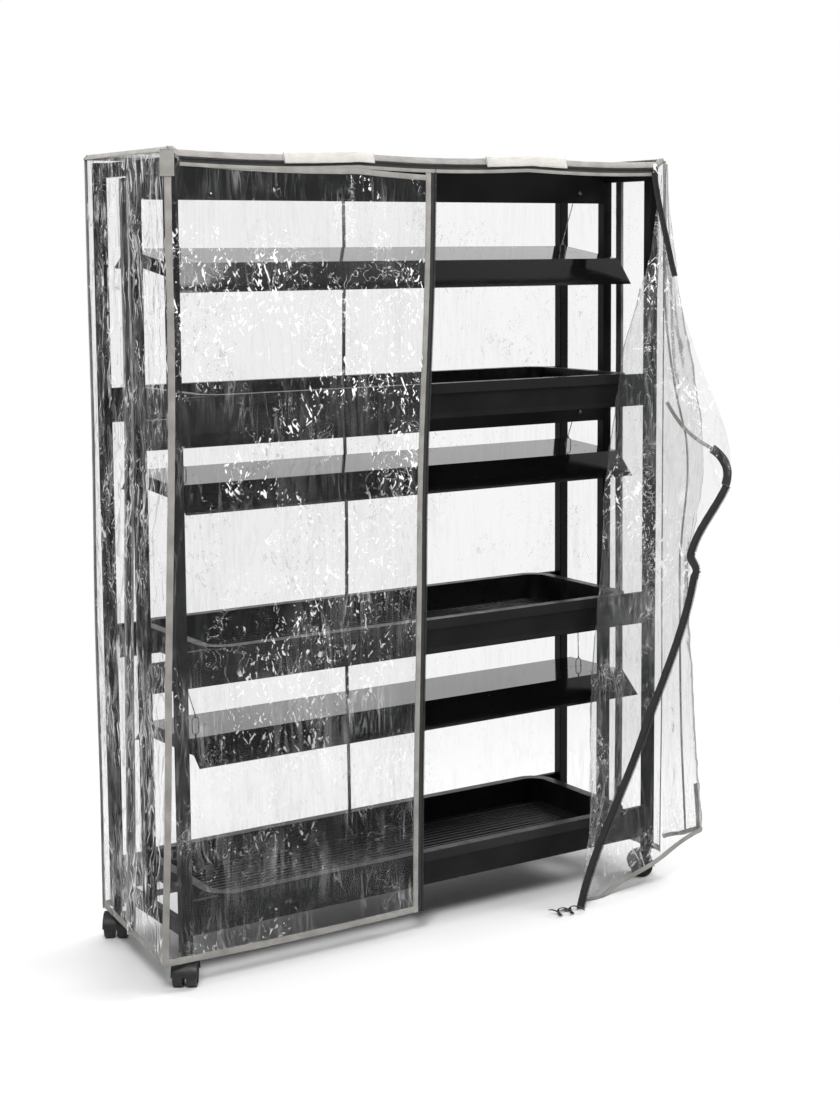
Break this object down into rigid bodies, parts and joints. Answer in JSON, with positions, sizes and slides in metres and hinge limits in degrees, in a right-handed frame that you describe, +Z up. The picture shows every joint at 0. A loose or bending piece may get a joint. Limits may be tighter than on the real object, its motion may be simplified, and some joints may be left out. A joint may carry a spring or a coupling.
{
  "type": "plant grow-light stand",
  "caption": "Rolling three-tier metal plant stand with deep trays, hooded tube lamps hung on ball chains, and a clear zip-up film cover pulled open.",
  "frame": {"origin": "on the floor, under the middle of the whole object's box, the pulled-aside door included", "axes": "+X along the trays to the right as seen from the open front, +Y from the front to the back, +Z up"},
  "size_m": [1.4741, 0.5582, 1.7873],
  "materials": {
    "powder_coat": "satin",
    "bolt_steel": "satin",
    "black_plastic": "matte",
    "tray_plastic": "satin",
    "hood_enamel": "gloss",
    "white_enamel": "satin",
    "lamp_glass": "satin",
    "white_plastic": "matte",
    "chain_nickel": "satin",
    "wheel_rubber": "matte",
    "clear_film": "gloss",
    "cover_binding": "matte",
    "zip_tape": "matte",
    "zip_silver": "polished"
  },
  "bodies": {
    "frame": {"post_front_left": "powder_coat", "post_front_right": "powder_coat", "post_rear_left": "powder_coat", "post_rear_right": "powder_coat", "post_middle_left": "powder_coat", "post_middle_right": "powder_coat", "front_rail_low": "powder_coat", "rear_rail_low": "powder_coat", "lamp_rail_low": "powder_coat", "front_rail_mid": "powder_coat", "rear_rail_mid": "powder_coat", "lamp_rail_mid": "powder_coat", "front_rail_top": "powder_coat", "rear_rail_top": "powder_coat", "lamp_rail_top": "powder_coat", "side_rail_low_left": "powder_coat", "side_rail_low_right": "powder_coat", "side_rail_top_left": "powder_coat", "side_rail_top_right": "powder_coat", "lamp_bolts": "bolt_steel", "post_caps": "black_plastic", "caster_sockets": "black_plastic", "cover_top": "clear_film", "cover_back": "clear_film", "cover_front": "clear_film", "cover_side_left": "clear_film", "cover_side_right": "clear_film", "cover_door": "clear_film"},
    "tray_low_body": {"tray_low": "tray_plastic"},
    "tray_mid_body": {"tray_mid": "tray_plastic"},
    "tray_top_body": {"tray_top": "tray_plastic"},
    "hanger_low": {"chains_low": "chain_nickel", "hanger_rings_low": "chain_nickel"},
    "lamp_low": {"hood_low": "hood_enamel", "tubes_low": "lamp_glass", "tube_holders_low": "white_plastic", "driver_box_low": "white_enamel"},
    "hanger_mid": {"chains_mid": "chain_nickel", "hanger_rings_mid": "chain_nickel"},
    "lamp_mid": {"hood_mid": "hood_enamel", "tubes_mid": "lamp_glass", "tube_holders_mid": "white_plastic", "driver_box_mid": "white_enamel"},
    "hanger_top": {"chains_top": "chain_nickel", "hanger_rings_top": "chain_nickel"},
    "lamp_top": {"hood_top": "hood_enamel", "tubes_top": "lamp_glass", "tube_holders_top": "white_plastic", "driver_box_top": "white_enamel"},
    "caster_front_left": {"caster_housing_front_left": "black_plastic"},
    "wheels_front_left": {"caster_wheels_front_left": "wheel_rubber"},
    "caster_front_right": {"caster_housing_front_right": "black_plastic"},
    "wheels_front_right": {"caster_wheels_front_right": "wheel_rubber"},
    "caster_rear_left": {"caster_housing_rear_left": "black_plastic"},
    "wheels_rear_left": {"caster_wheels_rear_left": "wheel_rubber"},
    "caster_rear_right": {"caster_housing_rear_right": "black_plastic"},
    "wheels_rear_right": {"caster_wheels_rear_right": "wheel_rubber"},
    "slider_side": {"zip_slider_side": "zip_silver"},
    "slider_door": {"zip_slider_door": "zip_silver"}
  },
  "joints": [
    {"name": "tray_low_lift", "type": "slide", "parent": "frame", "child": "tray_low_body", "axis": [0, 0, 1], "range_m": [0, 0.07]},
    {"name": "tray_mid_lift", "type": "slide", "parent": "frame", "child": "tray_mid_body", "axis": [0, 0, 1], "range_m": [0, 0.07]},
    {"name": "tray_top_lift", "type": "slide", "parent": "frame", "child": "tray_top_body", "axis": [0, 0, 1], "range_m": [0, 0.07]},
    {"name": "lamp_low_lift", "type": "slide", "parent": "frame", "child": "hanger_low", "axis": [0, 0, 1], "range_m": [0, 0.03]},
    {"name": "lamp_low_tilt", "type": "hinge", "parent": "hanger_low", "child": "lamp_low", "pos_m": [-0.0089, 0.07118, 0.5142], "axis": [1, 0, 0], "range_deg": [-7, 7]},
    {"name": "lamp_mid_lift", "type": "slide", "parent": "frame", "child": "hanger_mid", "axis": [0, 0, 1], "range_m": [0, 0.03]},
    {"name": "lamp_mid_tilt", "type": "hinge", "parent": "hanger_mid", "child": "lamp_mid", "pos_m": [-0.0269, 0.07125, 1.0822], "axis": [1, 0, 0], "range_deg": [-7, 7]},
    {"name": "lamp_top_lift", "type": "slide", "parent": "frame", "child": "hanger_top", "axis": [0, 0, 1], "range_m": [0, 0.03]},
    {"name": "lamp_top_tilt", "type": "hinge", "parent": "hanger_top", "child": "lamp_top", "pos_m": [-0.0289, 0.07132, 1.56671], "axis": [1, 0, 0], "range_deg": [-7, 7]},
    {"name": "caster_front_left_swivel", "type": "hinge", "parent": "frame", "child": "caster_front_left", "pos_m": [-0.6659, -0.1078, 0.07], "axis": [0, 0, 1], "continuous": true},
    {"name": "wheels_front_left_spin", "type": "hinge", "parent": "caster_front_left", "child": "wheels_front_left", "pos_m": [-0.67485, -0.12107, 0.028], "axis": [0.829, -0.5592, 0], "continuous": true},
    {"name": "caster_front_right_swivel", "type": "hinge", "parent": "frame", "child": "caster_front_right", "pos_m": [0.6241, -0.1078, 0.07], "axis": [0, 0, 1], "continuous": true},
    {"name": "wheels_front_right_spin", "type": "hinge", "parent": "caster_front_right", "child": "wheels_front_right", "pos_m": [0.61068, -0.09909, 0.028], "axis": [-0.5446, -0.8387, 0], "continuous": true},
    {"name": "caster_rear_left_swivel", "type": "hinge", "parent": "frame", "child": "caster_rear_left", "pos_m": [-0.6659, 0.2502, 0.07], "axis": [0, 0, 1], "continuous": true},
    {"name": "wheels_rear_left_spin", "type": "hinge", "parent": "caster_rear_left", "child": "wheels_rear_left", "pos_m": [-0.67485, 0.23694, 0.028], "axis": [0.829, -0.5592, 0], "continuous": true},
    {"name": "caster_rear_right_swivel", "type": "hinge", "parent": "frame", "child": "caster_rear_right", "pos_m": [0.6241, 0.2502, 0.07], "axis": [0, 0, 1], "continuous": true},
    {"name": "wheels_rear_right_spin", "type": "hinge", "parent": "caster_rear_right", "child": "wheels_rear_right", "pos_m": [0.61863, 0.23517, 0.028], "axis": [0.9397, -0.342, 0], "continuous": true},
    {"name": "zip_side_slide", "type": "slide", "parent": "frame", "child": "slider_side", "axis": [0.0151, 0, 0.9999], "range_m": [0, 1.65]},
    {"name": "zip_door_slide", "type": "slide", "parent": "frame", "child": "slider_door", "axis": [0.3988, -0.0688, 0.9145], "range_m": [0, 0.4]}
  ]
}
